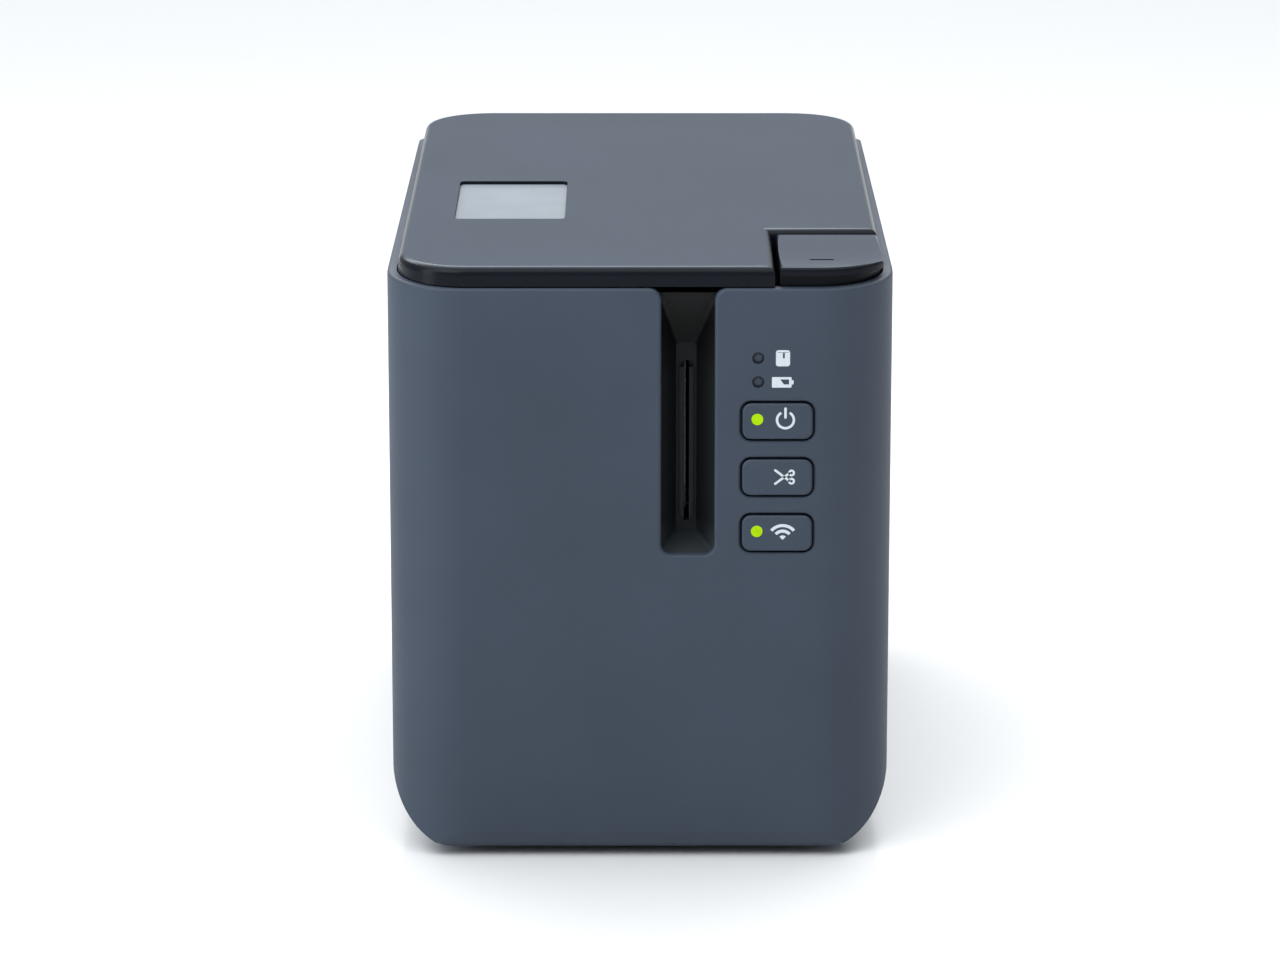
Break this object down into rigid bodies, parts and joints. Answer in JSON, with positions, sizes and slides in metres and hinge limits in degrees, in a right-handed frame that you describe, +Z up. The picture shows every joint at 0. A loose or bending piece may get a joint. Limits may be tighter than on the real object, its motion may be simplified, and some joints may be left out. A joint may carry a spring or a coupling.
{
  "type": "label maker",
  "caption": "desktop label printer with a hinged lid over a tape cassette, a tall front tape slot with cutter, front push buttons and a lid release button",
  "frame": {"origin": "on the table under the middle of the case", "axes": "+X right seen from the front, +Y to the back, +Z up"},
  "size_m": [0.118, 0.1923, 0.146],
  "materials": {
    "slate_shell": "fine matt grain",
    "case_plastic": "fine matt grain",
    "lid_gloss": "satin gloss",
    "window_clear": "clear moulded plastic",
    "black_plastic": "matt black",
    "lens_green": "lit lens",
    "lens_dark": "unlit lens",
    "rubber_black": "matt",
    "steel": "bright zinc",
    "head_aluminium": "extruded",
    "head_ceramic": "glazed strip",
    "gear_white": "natural acetal",
    "board_green": "solder mask",
    "switch_black": "matt",
    "socket_metal": "nickel plated",
    "cassette_grey": "fine grain",
    "tape_white": "laminated film",
    "ribbon_black": "wound film"
  },
  "bodies": {
    "case": {"front_shell": "slate_shell", "rear_case": "case_plastic", "base_plate": "case_plastic", "rubber_feet": "rubber_black", "base_screws": "steel", "cover_hinge_pins": "steel", "status_lenses": "lens_dark", "panel_pcb": "board_green", "panel_switches": "switch_black", "main_chassis": "black_plastic", "chassis_screws": "steel", "exit_chute": "black_plastic", "head_heat_sink": "head_aluminium", "print_head": "head_ceramic", "holder_pivot_pin": "steel", "feed_motor": "steel", "cutter_frame": "steel", "cutter_fixed_blade": "steel", "cutter_pivot_pin": "steel", "cutter_gear_pin": "steel", "cutter_motor": "steel", "cassette_lower_case": "cassette_grey", "cassette_upper_case": "cassette_grey", "label_tape": "tape_white", "main_pcb": "board_green", "usb_port": "socket_metal", "dc_jack": "switch_black"},
    "cover": {"cover_shell": "lid_gloss", "cover_window": "window_clear"},
    "release": {"release_button": "lid_gloss"},
    "latch": {"latch_slider": "black_plastic"},
    "power_key": {"power_button": "slate_shell", "power_led_lens": "lens_green", "power_switch_plunger": "switch_black"},
    "feed_cut_key": {"feed_cut_button": "slate_shell", "feed_cut_switch_plunger": "switch_black"},
    "wireless_key": {"wireless_button": "slate_shell", "wireless_led_lens": "lens_green", "wireless_switch_plunger": "switch_black"},
    "holder": {"roller_holder": "black_plastic"},
    "platen": {"platen_roller": "rubber_black", "platen_shaft": "steel", "platen_gear": "gear_white"},
    "tape_feed": {"tape_feed_roller": "rubber_black", "tape_feed_shaft": "steel", "tape_feed_gear": "gear_white"},
    "holder_idler": {"holder_gear": "gear_white"},
    "idler": {"idler_gear": "gear_white"},
    "drive_pinion": {"motor_pinion": "gear_white"},
    "ribbon_drive": {"ribbon_spindle": "gear_white", "ribbon_takeup_spool": "ribbon_black"},
    "ribbon_supply": {"ribbon_supply_spool": "ribbon_black"},
    "tape_roll": {"label_tape_roll": "tape_white"},
    "cutter_blade": {"cutter_moving_blade": "steel"},
    "cutter_wheel": {"cutter_gear": "gear_white"},
    "cutter_drive": {"cutter_pinion": "gear_white"}
  },
  "joints": [
    {"name": "cover_hinge", "type": "hinge", "parent": "case", "child": "cover", "pos_m": [0, 0.088, 0.1373], "axis": [-1, 0, 0], "range_deg": [0, 85]},
    {"name": "release_press", "type": "slide", "parent": "case", "child": "release", "axis": [0, 0, -1], "range_m": [0, 0.0018], "stiffness_N_per_m": 800, "springref_m": -0.002},
    {"name": "latch_slide", "type": "slide", "parent": "case", "child": "latch", "axis": [0, -1, 0], "range_m": [0, 0.0018]},
    {"name": "power_press", "type": "slide", "parent": "case", "child": "power_key", "axis": [0, 1, 0], "range_m": [0, 0.0006], "stiffness_N_per_m": 1500, "springref_m": -0.0005},
    {"name": "feed_cut_press", "type": "slide", "parent": "case", "child": "feed_cut_key", "axis": [0, 1, 0], "range_m": [0, 0.0006], "stiffness_N_per_m": 1500, "springref_m": -0.0005},
    {"name": "wireless_press", "type": "slide", "parent": "case", "child": "wireless_key", "axis": [0, 1, 0], "range_m": [0, 0.0006], "stiffness_N_per_m": 1500, "springref_m": -0.0005},
    {"name": "holder_swing", "type": "hinge", "parent": "case", "child": "holder", "pos_m": [0.022, -0.014, 0.0769], "axis": [0, 0, 1], "range_deg": [0, 5]},
    {"name": "tape_roll_spin", "type": "hinge", "parent": "case", "child": "tape_roll", "pos_m": [-0.019, -0.012, 0.0808], "axis": [0, 0, 1], "continuous": true},
    {"name": "platen_spin", "type": "hinge", "parent": "holder", "child": "platen", "pos_m": [0.0169, -0.038, 0.0723], "axis": [0, 0, 1], "continuous": true},
    {"name": "tape_feed_spin", "type": "hinge", "parent": "holder", "child": "tape_feed", "pos_m": [0.01757, -0.0545, 0.0723], "axis": [0, 0, 1], "continuous": true},
    {"name": "holder_gear_spin", "type": "hinge", "parent": "holder", "child": "holder_idler", "pos_m": [0.0237, -0.04561, 0.0723], "axis": [0, 0, 1], "continuous": true},
    {"name": "idler_spin", "type": "hinge", "parent": "case", "child": "idler", "pos_m": [0.00575, -0.03563, 0.0723], "axis": [0, 0, 1], "continuous": true},
    {"name": "pinion_spin", "type": "hinge", "parent": "case", "child": "drive_pinion", "pos_m": [0.00034, -0.02843, 0.0723], "axis": [0, 0, 1], "continuous": true},
    {"name": "ribbon_spin", "type": "hinge", "parent": "case", "child": "ribbon_drive", "pos_m": [-0.00621, -0.04121, 0.0723], "axis": [0, 0, 1], "continuous": true},
    {"name": "supply_spin", "type": "hinge", "parent": "case", "child": "ribbon_supply", "pos_m": [-0.033, -0.0455, 0.0808], "axis": [0, 0, 1], "continuous": true},
    {"name": "cutter_cut", "type": "hinge", "parent": "case", "child": "cutter_blade", "pos_m": [0.011, -0.0786, 0.0673], "axis": [0, -1, 0], "range_deg": [0, 16]},
    {"name": "cutter_gear_spin", "type": "hinge", "parent": "case", "child": "cutter_wheel", "pos_m": [0.0358, -0.0765, 0.0673], "axis": [0, -1, 0], "range_deg": [-67.67, 0]},
    {"name": "cutter_pinion_spin", "type": "hinge", "parent": "case", "child": "cutter_drive", "pos_m": [0.0358, -0.0765, 0.0481], "axis": [0, -1, 0], "range_deg": [0, 201]}
  ],
  "couplings": [
    {"joint": "latch_slide", "follows": "release_press", "ratio": 1},
    {"joint": "holder_swing", "follows": "cover_hinge", "ratio": 0.058824},
    {"joint": "cutter_gear_spin", "follows": "cutter_cut", "ratio": -4.1667},
    {"joint": "cutter_pinion_spin", "follows": "cutter_cut", "ratio": 12.5},
    {"joint": "platen_spin", "follows": "tape_roll_spin", "ratio": -4},
    {"joint": "idler_spin", "follows": "tape_roll_spin", "ratio": 3.6},
    {"joint": "pinion_spin", "follows": "tape_roll_spin", "ratio": -7.2},
    {"joint": "ribbon_spin", "follows": "tape_roll_spin", "ratio": -3},
    {"joint": "holder_gear_spin", "follows": "tape_roll_spin", "ratio": 4.5},
    {"joint": "tape_feed_spin", "follows": "tape_roll_spin", "ratio": -3.6},
    {"joint": "supply_spin", "follows": "tape_roll_spin", "ratio": -2.2667}
  ]
}
